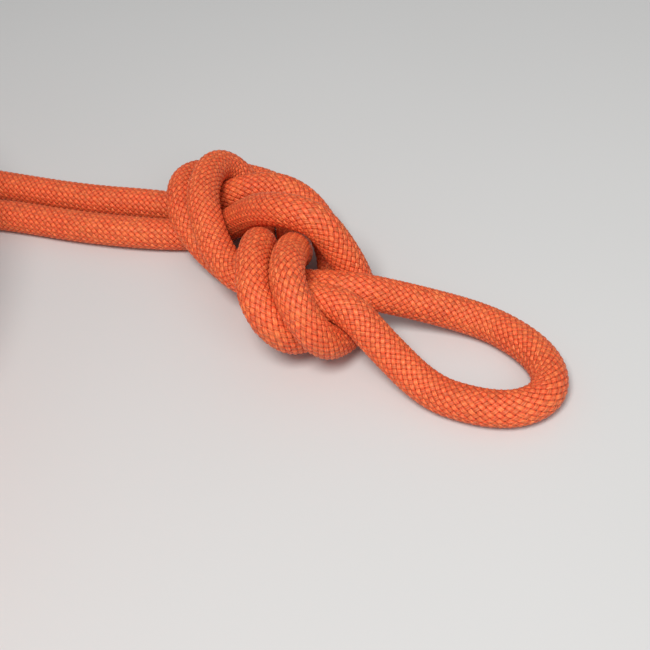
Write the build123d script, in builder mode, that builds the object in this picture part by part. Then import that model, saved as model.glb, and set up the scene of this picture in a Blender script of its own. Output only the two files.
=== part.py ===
from build123d import *
import math
import os

# Dynamic climbing rope, single rope, with a figure-eight loop tied near one end.
# Millimetres, +Z up.  The rope lies on the plane z = 0, and the origin is the
# middle of the floor rectangle that the whole rope covers.

# ---- driving dimensions -------------------------------------------------------
rope_d = 9.8            # outside diameter of the rope
sheath_wall = 1.0       # thickness of the braided sheath
rest_z = 5.05           # height of the rope's axis where it lies on the floor

inner_ring_r = 1.08     # the core: 3 strands round the axis ...
outer_ring_r = 2.95     # ... and 9 strands round those
strand_r = 0.88         # radius of one twisted core strand
tape_w = 0.8            # identification tape laid in among the strands
tape_t = 0.2
tape_r = 1.95           # how far the tape runs from the rope's axis

sleeve_d = 10.6         # shrunk-on sleeve over each end of the rope
sleeve_bore_d = 9.95
sleeve_l = 24.0
tip_l = 2.4             # heat-sealed end, melted and domed
tip_nose_r = 3.4

# put-away length: a neat round coil lying flat
coil_x, coil_y = -84.10, -8.21
coil_out_r = 143.8      # axis of the outermost turn
pitch = 9.95            # from one turn to the next in a layer
layer_h = 8.62          # from one layer to the next, the turns nested
wide_turns = 10         # turns in the layers of odd number; one fewer in the others
layers = 10
lead_angle = 58.51      # where the standing part runs into the outermost turn
lead_l = 56.5           # straight lead into that turn
end_angle = 262.0       # where the rope's far end stops, on top of the coil
end_l = 30.0            # straight length of rope that carries the end sleeve

# ---- the rope's route, from its tail end, through the knot and its loop, to
# ---- the lead into the coil
route = [
    (-43.53, 152.94, 5.50), (-20.45, 136.82, 5.54), (3.20, 121.54, 5.24),
    (27.28, 106.98, 5.02), (51.83, 93.15, 5.06), (76.60, 80.01, 5.08),
    (101.86, 66.21, 5.15), (124.84, 57.38, 5.00), (139.50, 48.40, 5.57),
    (152.01, 42.13, 15.97), (164.78, 39.16, 17.73), (174.41, 31.34, 13.37),
    (178.90, 14.81, 6.80), (174.83, -3.04, 4.89), (169.12, -14.24, 5.22),
    (164.38, -21.67, 9.75), (160.42, -24.73, 15.02), (156.87, -23.10, 20.43),
    (154.68, -17.80, 24.54), (155.20, -7.89, 27.02), (157.54, 4.09, 25.03),
    (157.80, 12.46, 15.59), (156.25, 26.53, 5.59), (157.11, 39.28, 4.74),
    (156.44, 48.48, 6.86), (154.05, 53.08, 11.78), (150.61, 53.49, 17.22),
    (146.97, 50.09, 21.55), (144.01, 42.45, 23.42), (141.84, 31.42, 22.85),
    (143.60, 16.43, 17.93), (148.58, 4.18, 14.61), (155.83, -1.71, 15.47),
    (167.22, -5.43, 14.06), (181.14, -13.65, 17.49), (197.08, -15.09, 10.60),
    (215.87, -21.39, 5.09), (224.99, -32.93, 5.04), (228.81, -42.97, 5.05),
    (227.90, -50.95, 5.05), (223.58, -55.47, 5.05), (216.34, -56.87, 5.10),
    (207.03, -53.48, 5.19), (196.37, -45.18, 4.93), (186.28, -32.04, 12.08),
    (179.35, -23.64, 19.73), (169.26, -17.41, 19.94), (161.50, -13.93, 17.70),
    (157.00, -13.22, 11.57), (156.08, -8.67, 5.80), (156.73, -1.72, 4.79),
    (155.06, 7.89, 5.84), (146.47, 17.82, 5.60), (136.27, 30.07, 13.59),
    (134.75, 43.89, 17.33), (137.66, 54.12, 16.17), (145.08, 61.12, 10.62),
    (155.13, 61.85, 6.08), (162.72, 57.45, 4.89), (167.52, 47.69, 5.54),
    (166.77, 32.72, 4.73), (167.16, 15.59, 8.28), (167.55, 2.59, 22.13),
    (165.31, -9.01, 28.42), (164.09, -18.95, 29.50), (165.41, -26.17, 25.68),
    (168.35, -29.58, 19.09), (171.68, -28.50, 12.40), (176.32, -21.90, 7.23),
    (181.38, -13.66, 4.94), (183.47, -7.47, 6.94), (183.26, -2.95, 12.22),
    (179.88, -0.53, 21.58), (175.34, 2.12, 29.80), (169.71, 5.23, 32.06),
    (162.61, 10.81, 30.72), (156.97, 19.17, 24.63), (150.48, 29.55, 14.06),
    (144.16, 36.40, 6.31), (133.54, 39.15, 4.80), (118.75, 43.29, 5.54),
    (99.37, 52.21, 5.14), (77.53, 63.82, 5.04), (61.35, 69.85, 5.75),
    (51.67, 77.25, 5.05), (39.20, 84.89, 5.05),
]

# ---- derived -------------------------------------------------------------------
rope_r = rope_d / 2
points = [Vector(*p) for p in route]


def arc_radii(pts):
    """As large an arc at each corner as its two runs allow."""
    radii = []
    for a, b, c in zip(pts, pts[1:], pts[2:]):
        turn = math.radians((b - a).get_angle(c - b))
        shorter = min((b - a).length, (c - b).length)
        radii.append(0.45 * shorter / math.tan(turn / 2))
    return radii


radii = arc_radii(points)
print("corners", len(radii), "smallest arc radius %.1f mm" % min(radii))
print("arc radii:", " ".join("%.0f" % r for r in radii))

tail_dir = (points[1] - points[0]).normalized()
tail_plane = Plane(origin=points[0], z_dir=tail_dir)

os.makedirs("parts", exist_ok=True)

# ---- braided sheath: a hollow tube along the whole free stretch -------------------
with BuildPart() as sheath:
    with BuildLine() as run:
        FilletPolyline(*points, radius=radii)
    with BuildSketch(tail_plane):
        Circle(rope_r)
        Circle(rope_r - sheath_wall, mode=Mode.SUBTRACT)
    sweep(path=run.wires()[0])
sheath.part.label = "sheath"
export_step(sheath.part, "parts/sheath.step")

run_l = run.wires()[0].length
section = math.pi * (rope_r**2 - (rope_r - sheath_wall) ** 2)
print("free stretch %.1f mm" % run_l)
print("sheath volume %.0f, section x length %.0f" % (sheath.part.volume, section * run_l))

# ---- core: 3 + 9 twisted strands, each its own piece ------------------------------
core_spots = [(inner_ring_r, 120 * k) for k in range(3)]
core_spots += [(outer_ring_r, 40 * k) for k in range(9)]
for number, (ring, angle) in enumerate(core_spots, 1):
    x = ring * math.cos(math.radians(angle))
    y = ring * math.sin(math.radians(angle))
    with BuildPart() as core_strand:
        with BuildSketch(tail_plane):
            with Locations((x, y)):
                Circle(strand_r)
        sweep(path=run.wires()[0])
    core_strand.part.label = "core_strand_%02d" % number
    export_step(core_strand.part, "parts/core_strand_%02d.step" % number)

# ---- identification tape, laid between the inner and outer strands ----------------
with BuildPart() as identification_tape:
    with BuildSketch(tail_plane):
        with Locations(Location((tape_r * math.cos(math.radians(60)),
                                 tape_r * math.sin(math.radians(60)), 0), (0, 0, 60))):
            Rectangle(tape_t, tape_w)
    sweep(path=run.wires()[0])
identification_tape.part.label = "identification_tape"
export_step(identification_tape.part, "parts/identification_tape.step")

# ---- tail end: heat-sealed tip and shrunk-on sleeve --------------------------------
back_plane = Plane(origin=points[0], z_dir=-tail_dir)
with BuildPart() as tail_tip:
    with BuildSketch(back_plane):
        Circle(rope_r)
    extrude(amount=tip_l)
    fillet(tail_tip.faces().sort_by(Axis(tuple(points[0]), tuple(-tail_dir)))[-1].edges(), tip_l - 0.3)
tail_tip.part.label = "tail_tip"
export_step(tail_tip.part, "parts/tail_tip.step")

with BuildPart() as tail_sleeve:
    with BuildSketch(tail_plane):
        Circle(sleeve_d / 2)
        Circle(sleeve_bore_d / 2, mode=Mode.SUBTRACT)
    extrude(amount=sleeve_l)
tail_sleeve.part.label = "tail_sleeve"
export_step(tail_sleeve.part, "parts/tail_sleeve.step")

# ---- the coiled length, as one closed body of the coil's outer shape ---------------
r_out = coil_out_r + rope_r + 0.6
r_in = coil_out_r - (wide_turns - 1) * pitch - rope_r
z_low = rest_z + (layers - 2) * layer_h + rope_r      # crown of the last full layer
z_step = 77.34                                         # the ledge beside the top layer
z_top = rest_z + (layers - 1) * layer_h + rope_r      # crown of the top layer
top_in = r_in + pitch / 2
top_out = top_in + 2 * rope_r + (wide_turns - 3) * pitch
end_r = top_out + sleeve_d / 2 + 0.2                  # axis of the last, part turn
end_z = z_step + sleeve_d / 2 + 0.1

coil_plane = Plane(origin=(coil_x, coil_y, 0), x_dir=(math.cos(math.radians(lead_angle)), math.sin(math.radians(lead_angle)), 0),
                   z_dir=(math.sin(math.radians(lead_angle)), -math.cos(math.radians(lead_angle)), 0))
turn_start = lead_angle + 4
turn_plane = Plane(origin=(coil_x, coil_y, 0), x_dir=(math.cos(math.radians(turn_start)), math.sin(math.radians(turn_start)), 0),
                   z_dir=(math.sin(math.radians(turn_start)), -math.cos(math.radians(turn_start)), 0))
coil_axis = Axis((coil_x, coil_y, 0), (0, 0, 1))
turn_dir = Vector(-math.sin(math.radians(lead_angle)), math.cos(math.radians(lead_angle)), 0)
lead_point = Vector(coil_x + coil_out_r * math.cos(math.radians(lead_angle)),
                    coil_y + coil_out_r * math.sin(math.radians(lead_angle)), rest_z)
end_out = Vector(math.cos(math.radians(end_angle)), math.sin(math.radians(end_angle)), 0)
end_dir = Vector(-math.sin(math.radians(end_angle)), math.cos(math.radians(end_angle)), 0)
end_point = Vector(coil_x + end_r * end_out.X, coil_y + end_r * end_out.Y, end_z)

with BuildPart() as rope_coil:
    # layers of turns all the way round, the top layer one turn narrower
    with BuildSketch(coil_plane):
        with BuildLine():
            Polyline(
                (r_in + 3.5, 0), (r_out - 3.5, 0), (r_out, 3.5), (r_out, z_low - 5.5),
                (r_out - 4.0, z_step), (top_out, z_step), (top_out, z_top - 3.5),
                (top_out - 3.5, z_top), (top_in + 3.5, z_top), (top_in, z_top - 3.5),
                (top_in, z_low), (r_in + 3.5, z_low), (r_in, z_low - 3.5), (r_in, 3.5),
                close=True,
            )
        make_face()
    revolve(axis=coil_axis, revolution_arc=360)
    # the last, part turn of the top layer
    with BuildSketch(turn_plane):
        with Locations((end_r - 1.0, (z_step + z_top) / 2 - 0.35)):
            Rectangle(2 * rope_r + 1.8, z_top - z_step + 1.3)
    revolve(axis=coil_axis, revolution_arc=end_angle - turn_start)
    # the straight lead-in of the standing part, and the rope's end in its sleeve
    with BuildSketch(Plane(origin=lead_point, z_dir=-turn_dir)):
        Circle(rope_r)
    extrude(amount=lead_l)
    with BuildSketch(Plane(origin=end_point, z_dir=end_dir)):
        Circle(rope_r)
    extrude(amount=end_l)
rope_coil.part.label = "rope_coil"
export_step(rope_coil.part, "parts/rope_coil.step")

# ---- far end: sleeve and heat-sealed tip --------------------------------------------
sleeve_start = end_point + end_dir * (end_l - sleeve_l)
with BuildPart() as end_sleeve:
    with BuildSketch(Plane(origin=sleeve_start, z_dir=end_dir)):
        Circle(sleeve_d / 2)
        Circle(sleeve_bore_d / 2, mode=Mode.SUBTRACT)
    extrude(amount=sleeve_l)
end_sleeve.part.label = "end_sleeve"
export_step(end_sleeve.part, "parts/end_sleeve.step")

tip_start = end_point + end_dir * end_l
with BuildPart() as end_tip:
    with BuildSketch(Plane(origin=tip_start, z_dir=end_dir)):
        Circle(rope_r)
    extrude(amount=tip_l)
    fillet(end_tip.faces().sort_by(Axis(tuple(tip_start), tuple(end_dir)))[-1].edges(), tip_l - 0.3)
end_tip.part.label = "end_tip"
export_step(end_tip.part, "parts/end_tip.step")

everything = [sheath, rope_coil, tail_tip, tail_sleeve, end_sleeve, end_tip]
boxes = [p.part.bounding_box() for p in everything]
low = [min(getattr(b.min, k) for b in boxes) for k in "XYZ"]
high = [max(getattr(b.max, k) for b in boxes) for k in "XYZ"]
print("lowest %.2f %.2f %.2f" % tuple(low), "highest %.2f %.2f %.2f" % tuple(high))
print("end point", end_point, "end_r %.2f end_z %.2f z_top %.2f r_in %.2f r_out %.2f" % (end_r, end_z, z_top, r_in, r_out))
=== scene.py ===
import math
import bpy
import numpy as np
from mathutils import Matrix, Vector


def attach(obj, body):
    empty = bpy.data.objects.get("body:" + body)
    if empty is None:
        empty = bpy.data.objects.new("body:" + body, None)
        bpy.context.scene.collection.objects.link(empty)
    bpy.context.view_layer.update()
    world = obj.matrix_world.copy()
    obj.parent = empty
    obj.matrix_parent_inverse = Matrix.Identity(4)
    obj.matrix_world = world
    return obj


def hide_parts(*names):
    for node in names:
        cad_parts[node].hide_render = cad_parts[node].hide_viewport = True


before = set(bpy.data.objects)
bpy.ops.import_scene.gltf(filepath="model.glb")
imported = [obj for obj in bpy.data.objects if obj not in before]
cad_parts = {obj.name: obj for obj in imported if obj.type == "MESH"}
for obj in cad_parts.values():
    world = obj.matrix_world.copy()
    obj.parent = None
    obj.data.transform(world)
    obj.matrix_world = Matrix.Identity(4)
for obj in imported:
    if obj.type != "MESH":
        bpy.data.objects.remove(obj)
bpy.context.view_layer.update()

# ------------------------------------------------------------------------------
# sizes, in metres
# ------------------------------------------------------------------------------
MM = 0.001
REST_Z = 5.05
LANES = 16                 # yarns laid each way: a 32-carrier braid
LAY = 33.6 * MM            # length in which one yarn goes once round the rope

# the rope's route in millimetres: tail end, knot, loop, knot, standing part
ROUTE = [
    (-43.53, 152.94, 5.50), (-20.45, 136.82, 5.54), (3.20, 121.54, 5.24),
    (27.28, 106.98, 5.02), (51.83, 93.15, 5.06), (76.60, 80.01, 5.08),
    (101.86, 66.21, 5.15), (124.84, 57.38, 5.00), (139.50, 48.40, 5.57),
    (152.01, 42.13, 15.97), (164.78, 39.16, 17.73), (174.41, 31.34, 13.37),
    (178.90, 14.81, 6.80), (174.83, -3.04, 4.89), (169.12, -14.24, 5.22),
    (164.38, -21.67, 9.75), (160.42, -24.73, 15.02), (156.87, -23.10, 20.43),
    (154.68, -17.80, 24.54), (155.20, -7.89, 27.02), (157.54, 4.09, 25.03),
    (157.80, 12.46, 15.59), (156.25, 26.53, 5.59), (157.11, 39.28, 4.74),
    (156.44, 48.48, 6.86), (154.05, 53.08, 11.78), (150.61, 53.49, 17.22),
    (146.97, 50.09, 21.55), (144.01, 42.45, 23.42), (141.84, 31.42, 22.85),
    (143.60, 16.43, 17.93), (148.58, 4.18, 14.61), (155.83, -1.71, 15.47),
    (167.22, -5.43, 14.06), (181.14, -13.65, 17.49), (197.08, -15.09, 10.60),
    (215.87, -21.39, 5.09), (224.99, -32.93, 5.04), (228.81, -42.97, 5.05),
    (227.90, -50.95, 5.05), (223.58, -55.47, 5.05), (216.34, -56.87, 5.10),
    (207.03, -53.48, 5.19), (196.37, -45.18, 4.93), (186.28, -32.04, 12.08),
    (179.35, -23.64, 19.73), (169.26, -17.41, 19.94), (161.50, -13.93, 17.70),
    (157.00, -13.22, 11.57), (156.08, -8.67, 5.80), (156.73, -1.72, 4.79),
    (155.06, 7.89, 5.84), (146.47, 17.82, 5.60), (136.27, 30.07, 13.59),
    (134.75, 43.89, 17.33), (137.66, 54.12, 16.17), (145.08, 61.12, 10.62),
    (155.13, 61.85, 6.08), (162.72, 57.45, 4.89), (167.52, 47.69, 5.54),
    (166.77, 32.72, 4.73), (167.16, 15.59, 8.28), (167.55, 2.59, 22.13),
    (165.31, -9.01, 28.42), (164.09, -18.95, 29.50), (165.41, -26.17, 25.68),
    (168.35, -29.58, 19.09), (171.68, -28.50, 12.40), (176.32, -21.90, 7.23),
    (181.38, -13.66, 4.94), (183.47, -7.47, 6.94), (183.26, -2.95, 12.22),
    (179.88, -0.53, 21.58), (175.34, 2.12, 29.80), (169.71, 5.23, 32.06),
    (162.61, 10.81, 30.72), (156.97, 19.17, 24.63), (150.48, 29.55, 14.06),
    (144.16, 36.40, 6.31), (133.54, 39.15, 4.80), (118.75, 43.29, 5.54),
    (99.37, 52.21, 5.14), (77.53, 63.82, 5.04), (61.35, 69.85, 5.75),
    (51.67, 77.25, 5.05), (39.20, 84.89, 5.05),
]

# the coil
COIL = (-84.10, -8.21)
COIL_OUT = 143.8
PITCH = 9.95
LAYER = 8.62
LAYERS = 10
WIDE = 10
LEAD_ANGLE = 58.51
END_ANGLE = 262.0
END_R, END_Z = 139.28, 82.74
END_L = 30.0
SLEEVE_L = 24.0
PER_TURN = 24


def smooth(t):
    t = min(1.0, max(0.0, t))
    return t * t * (3 - 2 * t)


def coil_points():
    """The coil's turns: layers of nested turns, wound in and out in turn, each stepping over just before the lead."""
    inner = COIL_OUT - (WIDE - 1) * PITCH
    turns = []
    for layer in range(LAYERS):
        z = REST_Z + LAYER * layer
        if layer % 2 == 0:
            turns += [(COIL_OUT - PITCH * k, z) for k in range(WIDE)]
        else:
            turns += [(inner + PITCH * (k + 0.5), z) for k in range(WIDE - 1)]
    turns[-1] = (END_R, END_Z)
    lead = math.radians(LEAD_ANGLE)
    cx, cy = COIL
    out = []
    step = 2 * math.pi / PER_TURN
    zone = math.radians(80)
    last = (len(turns) - 1) * PER_TURN + (END_ANGLE - LEAD_ANGLE) / 360 * PER_TURN
    n = 0
    while n * 1.0 <= last - 0.4:
        turn = n // PER_TURN
        beta = (n % PER_TURN) * step
        r, z = turns[turn]
        if turn + 1 < len(turns):
            r2, z2 = turns[turn + 1]
            t = (beta - (2 * math.pi - zone)) / zone
            if z2 - z > 1 :
                z += (z2 - z) * smooth(t * 2)
            else:
                z += (z2 - z) * smooth(t)
            r += (r2 - r) * smooth(t * 2 - 1)
        # a hand-wound coil isn't a true circle, and its turns wander a little
        a = lead + beta
        away = smooth(min(beta, 2 * math.pi - beta) / 0.6)
        r += away * (0.9 * math.sin(2 * a + 0.7) + 0.12 * math.sin(5 * a + 1.7 * turn) + 0.10 * math.sin(3 * a + 2.3 * turn))
        r /= 0.99146 if turn + n else 1.0
        out.append((cx + r * math.cos(a), cy + r * math.sin(a), z))
        n += 1
    end = math.radians(END_ANGLE)
    ex, ey = cx + END_R * math.cos(end), cy + END_R * math.sin(end)
    for d in (0.0, 10.0, 20.0, END_L):
        out.append((ex - math.sin(end) * d, ey + math.cos(end) * d, END_Z))
    return out


# ------------------------------------------------------------------------------
# camera
# ------------------------------------------------------------------------------
def add_camera():
    pitch, roll = math.radians(42.0), math.radians(9.2)
    forward = Vector((0, math.cos(pitch), -math.sin(pitch)))
    right = Vector((1, 0, 0))
    down = forward.cross(right)
    u = right * math.cos(roll) + down * math.sin(roll)
    v = -right * math.sin(roll) + down * math.cos(roll)
    m = Matrix.Identity(4)
    for k in range(3):
        m[k][0], m[k][1], m[k][2] = u[k], -v[k], -forward[k]
    m.translation = Vector((0.1723, -0.2857, 0.2506))
    data = bpy.data.cameras.new("camera")
    data.sensor_width = 36
    data.lens = 36 * 1299.4 / 650
    data.clip_start = 0.01
    data.clip_end = 20
    cam = bpy.data.objects.new("camera", data)
    cam.matrix_world = m
    bpy.context.scene.collection.objects.link(cam)
    bpy.context.scene.camera = cam
    return cam


add_camera()


# ------------------------------------------------------------------------------
# the rope's own line, one smooth spline from end to end
# ------------------------------------------------------------------------------
def rope_line():
    control = [tuple(c * MM for c in p) for p in ROUTE + coil_points()]
    curve = bpy.data.curves.new("rope_line", "CURVE")
    curve.dimensions = "3D"
    spline = curve.splines.new("NURBS")
    spline.points.add(len(control) - 1)
    for point, place in zip(spline.points, control):
        point.co = (*place, 1.0)
    spline.use_endpoint_u = True
    spline.order_u = 3
    spline.resolution_u = 12
    holder = bpy.data.objects.new("rope_line", curve)
    bpy.context.scene.collection.objects.link(holder)
    bpy.context.view_layer.update()
    mesh = bpy.data.meshes.new_from_object(holder.evaluated_get(bpy.context.evaluated_depsgraph_get()))
    line = np.zeros(len(mesh.vertices) * 3)
    mesh.vertices.foreach_get("co", line)
    bpy.data.objects.remove(holder)
    bpy.data.curves.remove(curve)
    bpy.data.meshes.remove(mesh)
    return line.reshape(-1, 3)


line = rope_line()
keep = np.r_[True, np.linalg.norm(np.diff(line, axis=0), axis=1) > 1e-7]
line = line[keep]
along = np.r_[0, np.cumsum(np.linalg.norm(np.diff(line, axis=0), axis=1))]
total = float(along[-1])
print("rope length %.3f m, %d points" % (total, len(line)))


def at(s):
    """Points on the line at the distances s, between its own points by a cubic."""
    s = np.clip(s, 0, total)
    i = np.clip(np.searchsorted(along, s, side="right") - 1, 0, len(line) - 2)
    h = along[i + 1] - along[i]
    t = ((s - along[i]) / h)[:, None]
    lo, hi = np.maximum(i - 1, 0), np.minimum(i + 2, len(line) - 1)
    m0 = (line[i + 1] - line[lo]) / (along[i + 1] - along[lo])[:, None] * h[:, None]
    m1 = (line[hi] - line[i]) / (along[hi] - along[i])[:, None] * h[:, None]
    return ((2 * t**3 - 3 * t**2 + 1) * line[i] + (t**3 - 2 * t**2 + t) * m0
            + (-2 * t**3 + 3 * t**2) * line[i + 1] + (t**3 - t**2) * m1)


def frames(points):
    """Directions along and across the line at each point, turned as little as possible from one to the next."""
    tangent = np.gradient(points, axis=0)
    tangent /= np.linalg.norm(tangent, axis=1)[:, None]
    n = len(points)
    side = np.zeros_like(points)
    first = np.cross(tangent[0], (0, 0, 1.0))
    side[0] = first / np.linalg.norm(first)
    for k in range(1, n):
        v = points[k] - points[k - 1]
        c = v @ v
        r = side[k - 1] - v * (2 / c * (v @ side[k - 1]))
        t = tangent[k - 1] - v * (2 / c * (v @ tangent[k - 1]))
        w = tangent[k] - t
        c2 = w @ w
        r = r - w * (2 / c2 * (w @ r)) if c2 > 1e-18 else r
        r -= tangent[k] * (r @ tangent[k])
        side[k] = r / np.linalg.norm(r)
    return tangent, side, np.cross(tangent, side)


def grid_mesh(name, rings, uv=None, caps=(True, True)):
    """A closed tube from an array of rings, rings[k, j] = point j of ring k."""
    count, around = rings.shape[:2]
    mesh = bpy.data.meshes.new(name)
    verts = rings.reshape(-1, 3)
    k = np.arange(count - 1)[:, None]
    j = np.arange(around)[None, :]
    j2 = (j + 1) % around
    faces = np.stack([k * around + j, k * around + j2, (k + 1) * around + j2, (k + 1) * around + j], axis=-1).reshape(-1, 4)
    extra = []
    if caps[0]:
        extra.append(list(range(around))[::-1])
    if caps[1]:
        extra.append([(count - 1) * around + q for q in range(around)])
    loops = np.concatenate([faces.ravel()] + [np.array(e) for e in extra]) if extra else faces.ravel()
    mesh.vertices.add(len(verts))
    mesh.vertices.foreach_set("co", verts.ravel())
    mesh.loops.add(len(loops))
    mesh.loops.foreach_set("vertex_index", loops.astype(np.int32))
    starts = [4 * q for q in range(len(faces))]
    at_loop = 4 * len(faces)
    for e in extra:
        starts.append(at_loop)
        at_loop += len(e)
    mesh.polygons.add(len(starts))
    mesh.polygons.foreach_set("loop_start", np.array(starts, np.int32))
    mesh.update(calc_edges=True)
    mesh.polygons.foreach_set("use_smooth", np.ones(len(starts), bool))
    if uv is not None:
        ring_v, turn_u = uv          # v per ring, u per column with one more for the seam
        layer = mesh.uv_layers.new(name="rope")
        kk = np.repeat(np.arange(count - 1), around)
        jj = np.tile(np.arange(around), count - 1)
        u = np.stack([turn_u[jj], turn_u[jj + 1], turn_u[jj + 1], turn_u[jj]], axis=-1)
        v = np.stack([ring_v[kk], ring_v[kk], ring_v[kk + 1], ring_v[kk + 1]], axis=-1)
        flat = np.stack([u.ravel(), v.ravel()], axis=-1)
        for which, e in zip([w for w in (0, 1) if caps[w]], extra):
            vv = ring_v[0] if which == 0 else ring_v[-1]
            flat = np.concatenate([flat, np.stack([np.zeros(len(e)), np.full(len(e), vv)], axis=-1)])
        layer.data.foreach_set("uv", flat.ravel())
    mesh.validate()
    obj = bpy.data.objects.new(name, mesh)
    bpy.context.scene.collection.objects.link(obj)
    return obj


def tube(name, s, radius, around, centre=(0.0, 0.0), uv=True, caps=(True, True), twist=0.0):
    """A tube along the rope's line at the distances s. radius(theta, s) or an array gives its surface."""
    points = at(s)
    tangent, side, up = frames(points)
    theta = np.arange(around) / around * 2 * math.pi
    r = radius(theta[None, :], s[:, None]) if callable(radius) else np.broadcast_to(np.asarray(radius).reshape(-1, 1), (len(s), around))
    c, d = np.cos(theta + twist), np.sin(theta + twist)
    rings = (points[:, None] + side[:, None] * (centre[0] + r * c)[..., None] + up[:, None] * (centre[1] + r * d)[..., None])
    cols = np.arange(around + 1) / around
    obj = grid_mesh(name, rings, (s, cols) if uv else None, caps)
    return obj, points, rings


# ------------------------------------------------------------------------------
# the braid: sixteen yarns each way, over one and under one
# ------------------------------------------------------------------------------
def braid(theta, s):
    """Height of the braid's surface, 0 deep between the yarns to 1 on a crown."""
    a = (theta / (2 * math.pi) - s / LAY) * LANES
    b = (theta / (2 * math.pi) + s / LAY) * LANES
    ia, ib = np.round(a), np.round(b)
    ua, ub = a - ia, b - ib
    ws = np.cos(math.pi * (ia + b))
    wz = -np.cos(math.pi * (a + ib))
    crown = lambda u: np.sqrt(np.maximum(0.0, 1 - (u / 0.45) ** 2))
    hs = 0.38 * ws + 0.78 * crown(ua)
    hz = 0.38 * wz + 0.78 * crown(ub)
    return np.clip(np.maximum(hs, hz) / 1.16, 0.0, 1.0)


DEEP, CROWN = 4.34 * MM, 5.00 * MM


def braid_radius(theta, s):
    slow = 0.035 * MM * (np.sin(2 * theta + 61 * s) * np.sin(37 * s + 1.0) + 0.6 * np.sin(theta + 173 * s))
    return DEEP + (CROWN - DEEP) * braid(theta, s) + slow


# ------------------------------------------------------------------------------
# materials
# ------------------------------------------------------------------------------
class Nodes:
    """Short names for building a node tree."""

    def __init__(self, name):
        self.material = bpy.data.materials.new(name)
        self.material.use_nodes = True
        self.tree = self.material.node_tree
        self.shader = self.tree.nodes["Principled BSDF"]

    def new(self, kind, **settings):
        node = self.tree.nodes.new(kind)
        for key, value in settings.items():
            setattr(node, key, value)
        return node

    def put(self, socket, value):
        if isinstance(value, bpy.types.NodeSocket):
            self.tree.links.new(value, socket)
        else:
            socket.default_value = value

    def math(self, operation, *values, clamp=False):
        node = self.new("ShaderNodeMath", operation=operation, use_clamp=clamp)
        for socket, value in zip(node.inputs, values):
            self.put(socket, value)
        return node.outputs[0]

    def mix(self, share, one, other, kind="RGBA", blend="MIX"):
        node = self.new("ShaderNodeMix", data_type=kind)
        if kind == "RGBA":
            node.blend_type = blend
            sockets, out = (node.inputs[6], node.inputs[7]), node.outputs[2]
        else:
            sockets, out = (node.inputs[2], node.inputs[3]), node.outputs[0]
        self.put(node.inputs[0], share)
        self.put(sockets[0], one)
        self.put(sockets[1], other)
        return out

    def noise(self, vector, scale, detail=2.0, roughness=0.5, dims="3D"):
        node = self.new("ShaderNodeTexNoise", noise_dimensions=dims)
        self.put(node.inputs["Vector"], vector)
        node.inputs["Scale"].default_value = scale
        node.inputs["Detail"].default_value = detail
        node.inputs["Roughness"].default_value = roughness
        return node.outputs[0]

    def ramp(self, value, stops, interpolation="LINEAR"):
        node = self.new("ShaderNodeValToRGB")
        node.color_ramp.interpolation = interpolation
        elements = node.color_ramp.elements
        while len(elements) < len(stops):
            elements.new(0.5)
        for element, (place, colour) in zip(elements, stops):
            element.position = place
            element.color = (*colour, 1.0)
        self.put(node.inputs[0], value)
        return node.outputs[0]

    def span(self, value, low, high, to_low, to_high):
        node = self.new("ShaderNodeMapRange")
        for socket, v in zip(node.inputs, (value, low, high, to_low, to_high)):
            self.put(socket, v)
        return node.outputs[0]

    def combine(self, x, y, z):
        node = self.new("ShaderNodeCombineXYZ")
        for socket, v in zip(node.inputs, (x, y, z)):
            self.put(socket, v)
        return node.outputs[0]

    def bump(self, height, distance, strength=1.0, normal=None):
        node = self.new("ShaderNodeBump")
        node.inputs["Strength"].default_value = strength
        node.inputs["Distance"].default_value = distance
        self.put(node.inputs["Height"], height)
        if normal is not None:
            self.put(node.inputs["Normal"], normal)
        return node.outputs[0]

    def set(self, **values):
        for key, value in values.items():
            self.put(self.shader.inputs[key.replace("_", " ")], value)


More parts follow.
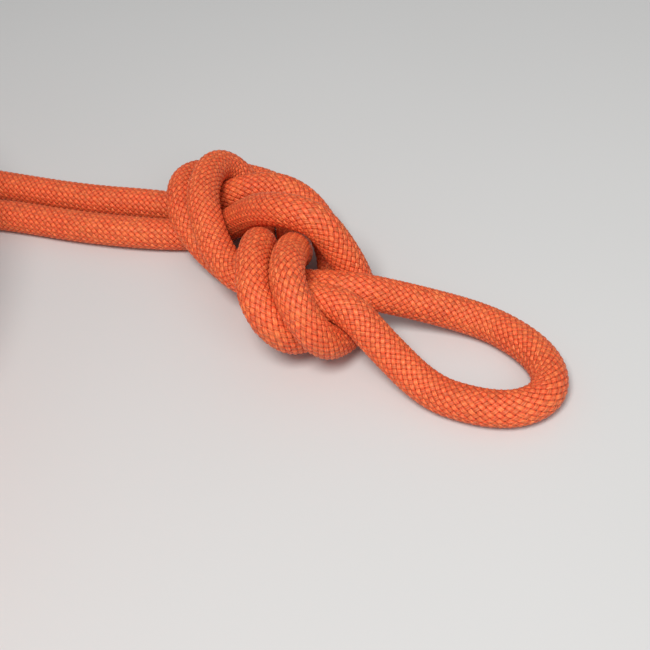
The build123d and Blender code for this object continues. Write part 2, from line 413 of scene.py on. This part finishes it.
def yarn_material(name, relief):
    """Braided polyamide yarn. relief says that the braid has to come from the bump, as on the coil, and not from the mesh."""
    m = Nodes(name)
    uv = m.new("ShaderNodeUVMap", uv_map="rope").outputs[0]
    part = m.new("ShaderNodeSeparateXYZ")
    m.put(part.inputs[0], uv)
    x, y = part.outputs[0], part.outputs[1]
    turns = m.math("DIVIDE", y, LAY)
    a = m.math("MULTIPLY", m.math("SUBTRACT", x, turns), float(LANES))
    b = m.math("MULTIPLY", m.math("ADD", x, turns), float(LANES))
    ia, ib = m.math("ROUND", a), m.math("ROUND", b)
    ua, ub = m.math("SUBTRACT", a, ia), m.math("SUBTRACT", b, ib)

    def wave(whole, along, sign):
        return m.math("MULTIPLY", m.math("COSINE", m.math("MULTIPLY", m.math("ADD", whole, along), math.pi)), sign * 0.38)

    def crown(u):
        q = m.math("DIVIDE", u, 0.45)
        return m.math("MULTIPLY", m.math("SQRT", m.math("MAXIMUM", m.math("SUBTRACT", 1.0, m.math("MULTIPLY", q, q)), 0.0)), 0.78)

    hs = m.math("ADD", wave(ia, b, 1.0), crown(ua))
    hz = m.math("ADD", wave(ib, a, -1.0), crown(ub))
    top = m.math("GREATER_THAN", hs, hz)
    height = m.math("DIVIDE", m.math("MAXIMUM", hs, hz), 1.16, clamp=True)

    across = m.mix(top, ub, ua, "FLOAT")
    forward = m.mix(top, a, b, "FLOAT")
    yarn = m.mix(top, m.math("ADD", ib, 57.0), ia, "FLOAT")
    threads = m.noise(m.combine(m.math("MULTIPLY", across, 7.0), m.math("MULTIPLY", forward, 0.45), m.math("MULTIPLY", yarn, 3.7)), 1.0, 2.0, 0.6)
    single = m.new("ShaderNodeTexWhiteNoise", noise_dimensions="2D")
    m.put(single.inputs["Vector"], m.combine(m.math("MODULO", m.math("ADD", yarn, 40000.0), float(LANES)), top, 0.0))
    float_id = m.new("ShaderNodeTexWhiteNoise", noise_dimensions="2D")
    m.put(float_id.inputs["Vector"], m.combine(yarn, m.math("FLOOR", m.math("DIVIDE", m.math("ADD", forward, yarn), 2.0)), 0.0))
    hue_id = m.new("ShaderNodeTexWhiteNoise", noise_dimensions="2D")
    m.put(hue_id.inputs["Vector"], m.combine(m.math("ADD", yarn, 11.0), m.math("FLOOR", m.math("DIVIDE", m.math("ADD", forward, yarn), 2.0)), 0.0))
    place = m.new("ShaderNodeTexCoord").outputs["Object"]
    slow = m.noise(place, 60.0, 3.0)

    # painted shade: the colour darkens from the yarns' crowns down into the gaps and pits between them, and is
    # brightest on the crowns
    base = m.ramp(height, [
        (0.00, (0.14, 0.008, 0.003)), (0.28, (0.42, 0.030, 0.008)), (0.55, (0.77, 0.080, 0.021)),
        (0.80, (0.90, 0.124, 0.036)), (1.00, (0.98, 0.205, 0.074)),
    ])
    # each yarn is a doubled one, with a groove along its middle
    pair = m.math("MULTIPLY", m.math("COSINE", m.math("MULTIPLY", across, 4 * math.pi)), -0.5)
    light = m.span(threads, 0.25, 0.75, 0.74, 1.20)
    # painted shade: each yarn's colour is darker along its middle groove
    light = m.math("MULTIPLY", light, m.span(pair, -0.5, 0.3, 0.82, 1.04))
    light = m.math("MULTIPLY", light, m.span(single.outputs[0], 0.0, 1.0, 0.92, 1.07))
    light = m.math("MULTIPLY", light, m.span(float_id.outputs[0], 0.0, 1.0, 0.92, 1.08))
    # filaments laid one way round catch more of the light than those laid the other way
    light = m.math("MULTIPLY", light, m.span(top, 0.0, 1.0, 0.86, 1.11))
    # the dye is a little uneven: some floats lean to straw and some to red, and so do longer stretches; the yarns laid
    # one way round are also pushed toward straw as a painted sheen
    lean = m.math("ADD", m.math("ADD", m.math("MULTIPLY", hue_id.outputs[0], 0.55), m.math("MULTIPLY", slow, 0.6)), m.math("MULTIPLY", top, 0.16))
    base = m.mix(m.span(lean, 0.66, 1.00, 0.0, 0.34), base, (0.93, 0.285, 0.085, 1.0))
    base = m.mix(m.span(lean, 0.60, 0.28, 0.0, 0.26), base, (0.84, 0.070, 0.034, 1.0))
    colour = m.mix(1.0, base, m.combine(light, light, light), blend="MULTIPLY")
    # a few filaments catch more light and look straw-coloured, most on the floats' shoulders
    fleck = m.math("MULTIPLY", m.span(threads, 0.56, 0.74, 0.0, 0.62), m.span(m.math("ABSOLUTE", across), 0.10, 0.36, 0.0, 1.0))
    colour = m.mix(fleck, colour, (0.93, 0.46, 0.16, 1.0))
    rough = m.span(threads, 0.25, 0.8, 0.56, 0.37)
    bump = m.bump(m.math("ADD", threads, pair), 0.12 * MM, 0.9)
    if relief:
        bump = m.bump(height, 0.55 * MM, 1.0, bump)
    m.set(Base_Color=colour, Roughness=rough, Normal=bump)
    m.shader.inputs["Specular IOR Level"].default_value = 0.50
    m.shader.inputs["Specular Tint"].default_value = (1.0, 0.84, 0.68, 1.0)
    m.shader.inputs["Sheen Weight"].default_value = 0.10
    m.shader.inputs["Sheen Roughness"].default_value = 0.35
    m.shader.inputs["Sheen Tint"].default_value = (1.0, 0.55, 0.32, 1.0)
    return m.material


def core_material():
    m = Nodes("core_yarn")
    uv = m.new("ShaderNodeUVMap", uv_map="rope").outputs[0]
    part = m.new("ShaderNodeSeparateXYZ")
    m.put(part.inputs[0], uv)
    lay = m.math("ADD", part.outputs[0], m.math("MULTIPLY", part.outputs[1], 1 / (9 * MM)))
    ply = m.math("ABSOLUTE", m.math("SINE", m.math("MULTIPLY", lay, 3 * math.pi)))
    hair = m.noise(m.combine(m.math("MULTIPLY", lay, 30.0), m.math("MULTIPLY", part.outputs[1], 300.0), 0.0), 1.0, 3.0)
    # painted shade: the colour darkens into the grooves between the plies
    colour = m.ramp(ply, [(0.0, (0.45, 0.42, 0.36)), (0.4, (0.78, 0.76, 0.70)), (1.0, (0.88, 0.87, 0.83))])
    shade = m.span(hair, 0.3, 0.7, 0.88, 1.05)
    m.set(Base_Color=m.mix(1.0, colour, m.combine(shade, shade, shade), blend="MULTIPLY"),
          Roughness=m.span(hair, 0.3, 0.7, 0.7, 0.5), Normal=m.bump(m.math("ADD", ply, m.math("MULTIPLY", hair, 0.3)), 0.1 * MM))
    m.shader.inputs["Sheen Weight"].default_value = 0.3
    return m.material


def tape_material():
    m = Nodes("tape_film")
    uv = m.new("ShaderNodeUVMap", uv_map="rope").outputs[0]
    part = m.new("ShaderNodeSeparateXYZ")
    m.put(part.inputs[0], uv)
    crease = m.noise(m.combine(m.math("MULTIPLY", part.outputs[0], 4.0), m.math("MULTIPLY", part.outputs[1], 180.0), 0.0), 1.0, 3.0)
    m.set(Base_Color=m.ramp(crease, [(0.3, (0.05, 0.16, 0.38)), (0.7, (0.10, 0.26, 0.52))]),
          Roughness=m.span(crease, 0.3, 0.7, 0.28, 0.5), Normal=m.bump(crease, 0.05 * MM))
    return m.material


def sleeve_material():
    m = Nodes("shrunk_sleeve")
    place = m.new("ShaderNodeTexCoord").outputs["Object"]
    grain = m.noise(place, 900.0, 4.0, 0.6)
    cloud = m.noise(place, 120.0, 3.0)
    rub = m.math("MULTIPLY", m.span(grain, 0.55, 0.75, 0.0, 1.0), m.span(cloud, 0.45, 0.65, 0.0, 1.0))
    colour = m.mix(rub, m.ramp(cloud, [(0.3, (0.020, 0.020, 0.022)), (0.7, (0.034, 0.034, 0.037))]), (0.10, 0.10, 0.105, 1.0))
    m.set(Base_Color=colour, Roughness=m.span(cloud, 0.3, 0.7, 0.34, 0.52), Normal=m.bump(grain, 0.03 * MM, 0.6))
    return m.material


def tip_material():
    m = Nodes("melted_end")
    place = m.new("ShaderNodeTexCoord").outputs["Object"]
    lump = m.noise(place, 420.0, 4.0, 0.55)
    fine = m.noise(place, 1900.0, 3.0)
    colour = m.ramp(lump, [(0.25, (0.035, 0.010, 0.006)), (0.5, (0.22, 0.040, 0.013)), (0.75, (0.48, 0.095, 0.026))])
    m.set(Base_Color=colour, Roughness=m.span(fine, 0.3, 0.7, 0.22, 0.46), Normal=m.bump(m.math("ADD", lump, m.math("MULTIPLY", fine, 0.15)), 0.25 * MM, 0.8))
    return m.material


def floor_material():
    m = Nodes("floor")
    place = m.new("ShaderNodeTexCoord").outputs["Object"]
    soft = m.noise(place, 3.0, 3.0)
    m.set(Base_Color=m.ramp(soft, [(0.3, (0.665, 0.665, 0.66)), (0.7, (0.69, 0.69, 0.685))]), Roughness=m.span(soft, 0.3, 0.7, 0.75, 0.85))
    m.shader.inputs["Specular IOR Level"].default_value = 0.2
    return m.material


braid_yarn = yarn_material("braided_yarn", False)
coil_yarn = yarn_material("braided_yarn_coiled", True)
core_yarn, tape_film, sleeve_film, melted, ground = core_material(), tape_material(), sleeve_material(), tip_material(), floor_material()

# ------------------------------------------------------------------------------
# pieces
# ------------------------------------------------------------------------------
STEP = 0.33 * MM
AROUND = 144
# the whole free stretch and the start of the coil's first turn carry the braid as real relief
near_lead = at(np.arange(0, 1.4, 0.001))
lead_start = Vector(ROUTE[-1]) * MM
free_l = float(np.argmin(np.linalg.norm(near_lead - np.array(lead_start), axis=1))) * 0.001
detail_l = free_l + 0.090
print("free stretch %.3f m" % free_l)

s_all = np.arange(0, detail_l + STEP, STEP)
p_all = at(s_all)
t_all, n_all, b_all = frames(p_all)


def frame_at(s):
    """The free stretch's own directions at the distances s."""
    i = np.clip(np.round(s / STEP).astype(int), 0, len(s_all) - 1)
    return at(s), t_all[i], n_all[i], b_all[i]


def along_free(name, s, ring, uv=None, caps=(True, True)):
    """A piece along the free stretch. ring(k) gives each ring's points as (side, up) offsets."""
    p, t, n, b = frame_at(s)
    side, up = ring
    rings = p[:, None] + n[:, None] * side[..., None] + b[:, None] * up[..., None]
    return grid_mesh(name, rings, uv, caps), rings


def finish_piece(obj, material, slot, *nodes):
    obj.data.materials.append(material)
    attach(obj, "root")
    if nodes:
        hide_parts(*nodes)
    return obj


# sheath, in five lengths that join under crossings of the knot
cuts = [0.0, 0.290, 0.487, 0.712, 0.930, detail_l]
names = ["sheath_tail", "sheath_first_pass", "sheath_loop", "sheath_second_pass", "sheath_standing"]
theta = np.arange(AROUND) / AROUND * 2 * math.pi
cols = np.arange(AROUND + 1) / AROUND
index = [int(round(c / STEP)) for c in cuts]
index[-1] = len(s_all) - 1
for name, i0, i1 in zip(names, index, index[1:]):
    k = slice(i0, i1 + 1)
    r = braid_radius(theta[None, :], s_all[k][:, None])
    rings = p_all[k][:, None] + n_all[k][:, None] * (r * np.cos(theta))[..., None] + b_all[k][:, None] * (r * np.sin(theta))[..., None]
    obj = grid_mesh(name, rings, (s_all[k], cols), (name == names[0], name == names[-1]))
    finish_piece(obj, braid_yarn, "sheath", *(["sheath"] if name == names[0] else []))

# core strands and tape, inside the free stretch
s_core = np.arange(0.0005, free_l, 2.5 * MM)
spots = [(1.08, 120 * k) for k in range(3)] + [(2.95, 40 * k) for k in range(9)]
for number, (ring_r, angle) in enumerate(spots, 1):
    q = np.arange(9) / 9 * 2 * math.pi
    r = (0.80 + 0.06 * np.abs(np.sin(1.5 * (q[None, :] + 2 * math.pi * s_core[:, None] / (9 * MM))))) * MM
    x, y = ring_r * MM * math.cos(math.radians(angle)), ring_r * MM * math.sin(math.radians(angle))
    obj, _ = along_free("core_yarn_%02d" % number, s_core, (x + r * np.cos(q), y + r * np.sin(q)), (s_core, np.arange(10) / 9))
    finish_piece(obj, core_yarn, "core", "core_strand_%02d" % number)

c60, s60 = math.cos(math.radians(60)), math.sin(math.radians(60))
corner = np.array([(-0.1, -0.4), (0, -0.4), (0.1, -0.4), (0.1, 0.0), (0.1, 0.4), (0, 0.4), (-0.1, 0.4), (-0.1, 0.0)]) * MM
cx = np.broadcast_to(1.95 * MM * c60 + corner[:, 0] * c60 - corner[:, 1] * s60, (len(s_core), 8))
cy = np.broadcast_to(1.95 * MM * s60 + corner[:, 0] * s60 + corner[:, 1] * c60, (len(s_core), 8))
obj, _ = along_free("tape", s_core, (cx, cy), (s_core, np.arange(9) / 8))
finish_piece(obj, tape_film, "tape", "identification_tape")

# the rope itself from end to end: under the braid's relief along the free stretch, and the sheath's own surface in the coil
s_rope = np.concatenate([np.arange(0.001, detail_l - 0.004, 3 * MM), [detail_l - 0.0015, detail_l - 0.0005], np.arange(detail_l + 0.004, total - 0.002, 10 * MM), [total - 0.001]])
p_rope = at(s_rope)
t_r, n_r, b_r = frames(p_rope)
r_rope = np.where(s_rope < detail_l - 0.001, 4.30 * MM, 4.86 * MM)
q = np.arange(16) / 16 * 2 * math.pi
rings = p_rope[:, None] + n_r[:, None] * (r_rope[:, None] * np.cos(q))[..., None] + b_r[:, None] * (r_rope[:, None] * np.sin(q))[..., None]
rope = grid_mesh("rope", rings, (s_rope, np.arange(17) / 16))
finish_piece(rope, coil_yarn, "sheath", "rope_coil")


def end_parts(which, at_s, inwards):
    """The sleeve and the melted tip of one end; inwards is +1 where the rope runs on from s = 0 and -1 at its far end."""
    around = 64
    q = np.arange(around) / around * 2 * math.pi
    profile = [(0.0, 5.02), (0.25, 5.16), (0.7, 5.25), (2.0, 5.27), (6.0, 5.24), (11.0, 5.26), (16.0, 5.24), (21.0, 5.26), (23.2, 5.24), (23.75, 5.14), (24.0, 5.02), (22.0, 5.0), (12.0, 5.0), (2.0, 5.0)]
    d = np.array([p[0] for p in profile]) * MM
    fine_d = []
    for (d0, r0), (d1, r1) in zip(profile, profile[1:]):
        steps = max(1, int(abs(d1 - d0) / 0.7)) if r0 > 5.01 and r1 > 5.01 else 1
        fine_d += [(d0 + (d1 - d0) * k / steps, r0 + (r1 - r0) * k / steps) for k in range(steps)]
    fine_d.append(profile[-1])
    d = np.array([p[0] for p in fine_d]) * MM
    r = np.array([p[1] for p in fine_d]) * MM
    s = at_s + inwards * d
    if at_s == 0:
        p, t, n, b = frame_at(s)
    else:
        p = at(s)
        t = (at(np.array([total])) - at(np.array([total - 0.02])))[0]
        t = np.tile(t / np.linalg.norm(t), (len(s), 1))
        n = np.cross(t, (0, 0, 1.0))
        n /= np.linalg.norm(n, axis=1)[:, None]
        b = np.cross(t, n)
    show = 0.030 * MM * braid(q[None, :], s[:, None]) + 0.02 * MM * np.sin(3 * q[None, :] + 900 * s[:, None])
    rr = r[:, None] + np.where(r[:, None] > 5.1 * MM, show, 0)
    rings = p[:, None] + n[:, None] * (rr * np.cos(q))[..., None] + b[:, None] * (rr * np.sin(q))[..., None]
    rings = np.concatenate([rings, rings[:1]])
    sleeve = grid_mesh(which + "_end_sleeve", rings, None, (False, False))
    import bmesh
    bm = bmesh.new()
    bm.from_mesh(sleeve.data)
    bmesh.ops.remove_doubles(bm, verts=bm.verts, dist=1e-7)
    bmesh.ops.recalc_face_normals(bm, faces=bm.faces)
    bm.to_mesh(sleeve.data)
    bm.free()
    finish_piece(sleeve, sleeve_film, "sleeve", "tail_sleeve" if which == "tail" else "end_sleeve")

    outward = -t[0] if at_s == 0 else t[0]
    start = at(np.array([at_s]))[0]
    dome = [(-0.6, 4.70), (0.0, 4.84), (0.5, 4.88), (1.1, 4.74), (1.6, 4.35), (2.0, 3.7), (2.22, 2.9), (2.33, 2.0), (2.36, 1.0), (2.36, 0.25)]
    rings = []
    for k, (depth, radius) in enumerate(dome):
        lump = 1 + 0.018 * np.sin(3 * q + 1.3 * k) + 0.012 * np.sin(7 * q + 2.1 * k) - 0.02
        rad = radius * MM * lump
        sink = 0.10 * MM * np.sin(2 * q + 0.8) * (radius / 4.9 if depth > 1 else 0)
        rings.append(start + outward * ((depth * MM + sink - 0.05 * MM)[:, None] if np.ndim(sink) else depth * MM) + n[0] * (rad * np.cos(q))[:, None] + b[0] * (rad * np.sin(q))[:, None])
    tip = grid_mesh(which + "_melted_end", np.array(rings), None, (True, True))
    bm = bmesh.new()
    bm.from_mesh(tip.data)
    bmesh.ops.recalc_face_normals(bm, faces=bm.faces)
    bm.to_mesh(tip.data)
    bm.free()
    finish_piece(tip, melted, "tip", "tail_tip" if which == "tail" else "end_tip")
    return [sleeve, tip]


ends = end_parts("tail", 0.0, 1) + end_parts("far", total, -1)

# ------------------------------------------------------------------------------
# floor and light
# ------------------------------------------------------------------------------
mesh = bpy.data.meshes.new("floor")
half = 4.0
mesh.from_pydata([(-half, -half, 0), (half, -half, 0), (half, half, 0), (-half, half, 0)], [], [(0, 1, 2, 3)])
floor = bpy.data.objects.new("floor", mesh)
floor.data.materials.append(ground)
bpy.context.scene.collection.objects.link(floor)


def area_light(name, place, target, size, power, colour=(1, 1, 1)):
    data = bpy.data.lights.new(name, "AREA")
    data.shape = "DISK"
    data.size = size
    data.energy = power
    data.color = colour
    lamp = bpy.data.objects.new(name, data)
    lamp.location = place
    lamp.rotation_euler = (Vector(target) - Vector(place)).to_track_quat("-Z", "Y").to_euler()
    bpy.context.scene.collection.objects.link(lamp)
    return lamp


knot = Vector((0.175, -0.010, 0.01))
area_light("key", knot + Vector((-0.15, -0.50, 0.85)) * 1.05, knot + Vector((0.035, -0.03, 0)), 0.40, 2.55, (1.0, 0.985, 0.96)).data.spread = math.radians(100)
area_light("fill", knot + Vector((0.30, -0.85, 0.75)), knot, 0.7, 2.6, (0.97, 0.985, 1.0))
world = bpy.data.worlds.new("studio")
world.use_nodes = True
world.node_tree.nodes["Background"].inputs[0].default_value = (0.95, 0.97, 1.0, 1.0)
world.node_tree.nodes["Background"].inputs[1].default_value = 0.27
bpy.context.scene.world = world
bpy.context.scene.view_settings.view_transform = "Standard"
